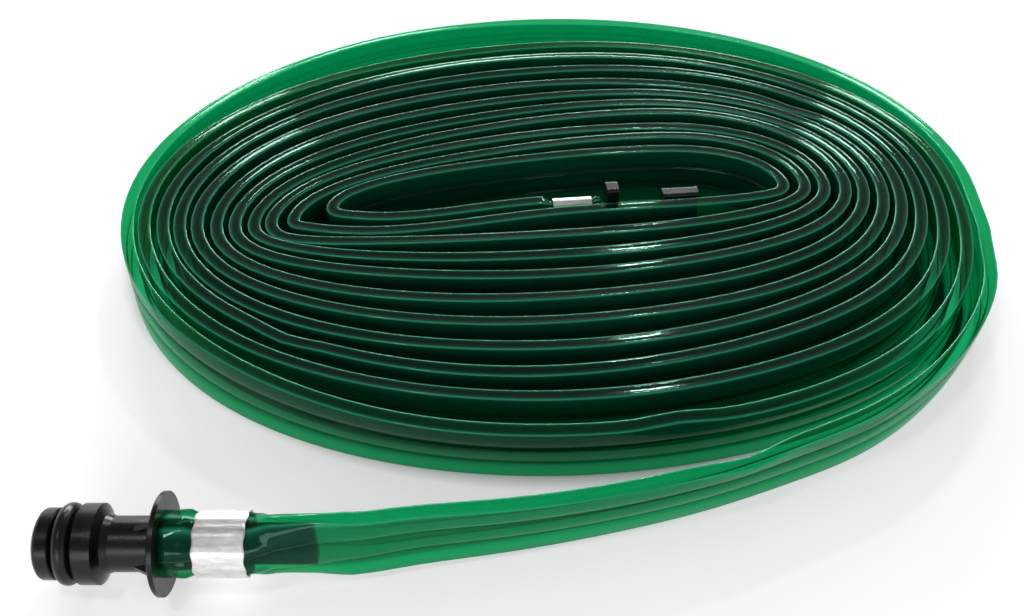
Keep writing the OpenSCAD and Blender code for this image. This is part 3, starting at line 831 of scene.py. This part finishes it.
# seen bare, the paper does not glow inside the oval and the wedge: painted shade
in_sight = maths(tree, "MULTIPLY", beside_coil, between(
    tree, from_coil_middle, 2.0, 8.0, near_glow, far_glow))
bright = node(tree, "ShaderNodeMix", {0: bare, 2: through_film, 3: in_sight}).outputs[0]
# painted green shade inside the oval and the wedge, for the green light that falls through the
# film
painted_green_shade = (0.03, 0.30, 0.13, 1)
paper_with_painted_shade = node(tree, "ShaderNodeMix", {
    0: beside_coil, 6: painted_green_shade, 7: shade}, data_type="RGBA").outputs[2]
matt = node(tree, "ShaderNodeBsdfDiffuse", {"Color": paper_with_painted_shade})
glow = node(tree, "ShaderNodeEmission", {
    "Color": (1, 1, 1, 1), "Strength": maths(tree, "MULTIPLY", seen, bright)})
sheet = node(tree, "ShaderNodeAddShader", {0: matt.outputs[0], 1: glow.outputs[0]})
finish_material(tree, sheet.outputs[0])
print("paper:", len(tree.nodes), "nodes")

# %% The floor
floor_half, floor_z = 6, -0.0001
corners = [
    (x * floor_half, y * floor_half, floor_z) for x, y in ((-1, -1), (1, -1), (1, 1), (-1, 1))]
floor_mesh = bpy.data.meshes.new("floor")
floor_mesh.from_pydata(corners, [], [(0, 1, 2, 3)])
floor_mesh.materials.append(paper)
floor = bpy.data.objects.new("floor", floor_mesh)
bpy.context.scene.collection.objects.link(floor)
print("floor of", 2 * floor_half, "m")

# %% [markdown]
# ## The room and its lamps
#
# The lines of light along the film are reflections, so the lamps behind the
# coil are placed for what they show in it: a wide strip for the long soft
# lines and three small ones for the short bright ones. A wide lamp in front
# and a small one above light the near sides. A plain pale world would wash the
# lines out, so the walls are white only near the floor, as a background, and
# grey above.

# %% The world
world = bpy.data.worlds.new("soft_room")
bpy.context.scene.world = world
world.use_nodes = True
tree = world.node_tree
tree.nodes.clear()
seen = seen_directly(tree)
up = node(tree, "ShaderNodeSeparateXYZ", {
    0: node(tree, "ShaderNodeTexCoord").outputs["Generated"]}).outputs["Z"]
wall = ramp(tree, up, ((0.27, (1.0,) * 3), (0.50, (0.22,) * 3)))
lit = ramp(tree, up, ((0.20, (0.75,) * 3), (0.55, (0.35,) * 3)))
strength = node(tree, "ShaderNodeMix", {0: seen, 6: lit, 7: wall}, data_type="RGBA").outputs[2]
sky = node(tree, "ShaderNodeBackground", {"Color": (1, 1, 1, 1), "Strength": strength})
node(tree, "ShaderNodeOutputWorld", {"Surface": sky.outputs[0]})
print("world:", len(tree.nodes), "nodes")


# %% The lamps
def soft_lamp(name, at, size, watts):
    data = bpy.data.lights.new(name, "AREA")
    data.shape, data.size, data.size_y, data.energy = "RECTANGLE", size[0], size[1], watts
    lamp = bpy.data.objects.new(name, data)
    lamp.location = at
    # an area lamp shines down its own -Z: turn that from straight down to the coil
    tip = math.atan2(math.hypot(at[0], at[1]), at[2])
    lamp.rotation_euler = (tip, 0, math.atan2(at[0], -at[1]))
    bpy.context.scene.collection.objects.link(lamp)


for name, at, size, watts in (
    ("lamp_back_strip", (0, 1.6, 0.40), (1.1, 0.30), 17),
    ("lamp_back_left", (-0.40, 1.1, 0.60), (0.14, 0.14), 1.5),
    ("lamp_back_right", (0.48, 1.05, 0.58), (0.14, 0.14), 1.5),
    ("lamp_key", (0.17, 0.95, 0.92), (0.06, 0.06), 1.5),
    ("lamp_front", (-0.25, -1.5, 0.52), (0.9, 0.5), 6),
    ("lamp_top", (-0.35, -0.35, 1.1), (0.12, 0.12), 1.2),
):
    soft_lamp(name, at, size, watts)
    print(name, "of", watts, "W")
